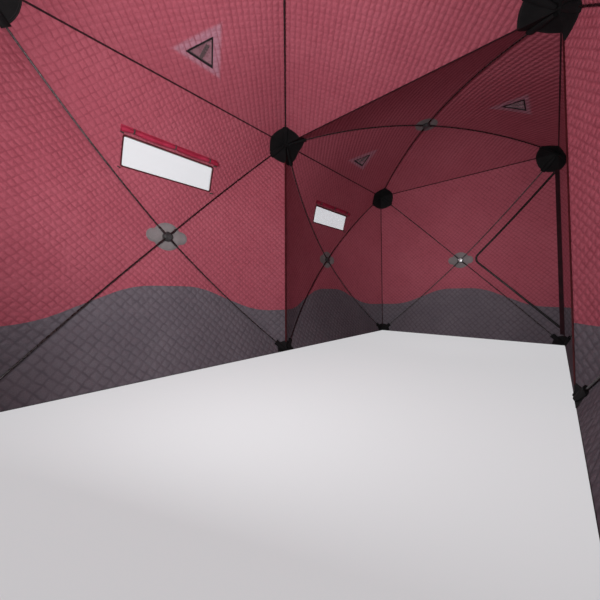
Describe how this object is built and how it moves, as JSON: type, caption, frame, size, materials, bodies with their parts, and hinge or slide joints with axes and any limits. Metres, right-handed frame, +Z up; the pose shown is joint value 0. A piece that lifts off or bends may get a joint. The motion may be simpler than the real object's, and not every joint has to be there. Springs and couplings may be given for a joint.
{
  "type": "ice fishing hut",
  "caption": "Double-cube pop-up ice fishing shelter of quilted cloth on crossed sprung poles, with corner zip doors, roof vents and windows.",
  "frame": {"origin": "middle of the hut's footprint, at the ground", "axes": "+Z up, +X along the hut to the far end, +Y across to the left wall with the picture's view"},
  "size_m": [4.994, 2.794, 2.467],
  "materials": {
    "red_cloth": "quilted, satin",
    "grey_cloth": "quilted, matte",
    "pole": "black glass-fibre rod",
    "hub": "moulded nylon",
    "patch_cloth": "woven, matte",
    "corner_cloth": "heavy woven, matte",
    "zip": "woven tape with moulded teeth",
    "pane": "clear film",
    "flap_cloth": "quilted, satin",
    "binding": "woven tape",
    "mesh": "open net",
    "strut": "flat batten",
    "hood_cloth": "coated, satin",
    "skirt_cloth": "coated, matte"
  },
  "bodies": {
    "root": {"roof_near": "red_cloth", "roof_far": "red_cloth", "wall_left_near": "red_cloth", "wall_left_far": "red_cloth", "wall_right_near": "red_cloth", "wall_right_far": "red_cloth", "wall_end_near_top": "red_cloth", "wall_end_near_side": "red_cloth", "wall_end_near_bottom": "red_cloth", "wall_end_far_top": "red_cloth", "wall_end_far_side": "red_cloth", "wall_end_far_bottom": "red_cloth", "band_left_near": "grey_cloth", "band_left_far": "grey_cloth", "band_right_near": "grey_cloth", "band_right_far": "grey_cloth", "band_end_near": "grey_cloth", "band_end_far": "grey_cloth", "poles_left_near": "pole", "poles_left_far": "pole", "poles_right_near": "pole", "poles_right_far": "pole", "poles_end_near": "pole", "poles_end_far": "pole", "poles_roof_near": "pole", "poles_roof_far": "pole", "wall_hubs": "hub", "roof_hubs": "hub", "hub_patches": "patch_cloth", "eave_caps": "corner_cloth", "base_caps": "corner_cloth", "zip_tapes": "zip", "hinge_seams": "red_cloth", "window_panes": "pane", "window_flaps": "flap_cloth", "vent_bindings": "binding", "vent_meshes": "mesh", "vent_struts": "strut", "vent_hoods": "hood_cloth", "skirt_left": "skirt_cloth", "skirt_right": "skirt_cloth", "skirt_far": "skirt_cloth", "skirt_near": "skirt_cloth"},
    "far_door": {"door_far": "red_cloth", "door_far_band": "grey_cloth"},
    "near_door": {"door_near": "red_cloth", "door_near_band": "grey_cloth"}
  },
  "joints": [
    {"name": "far_door_hinge", "type": "hinge", "parent": "root", "child": "far_door", "pos_m": [2.21119, -1.0835, 1], "axis": [0, 0, -1], "range_deg": [0, 110]},
    {"name": "near_door_hinge", "type": "hinge", "parent": "root", "child": "near_door", "pos_m": [-2.21119, -1.0835, 1], "axis": [0, 0, 1], "range_deg": [0, 110]}
  ]
}
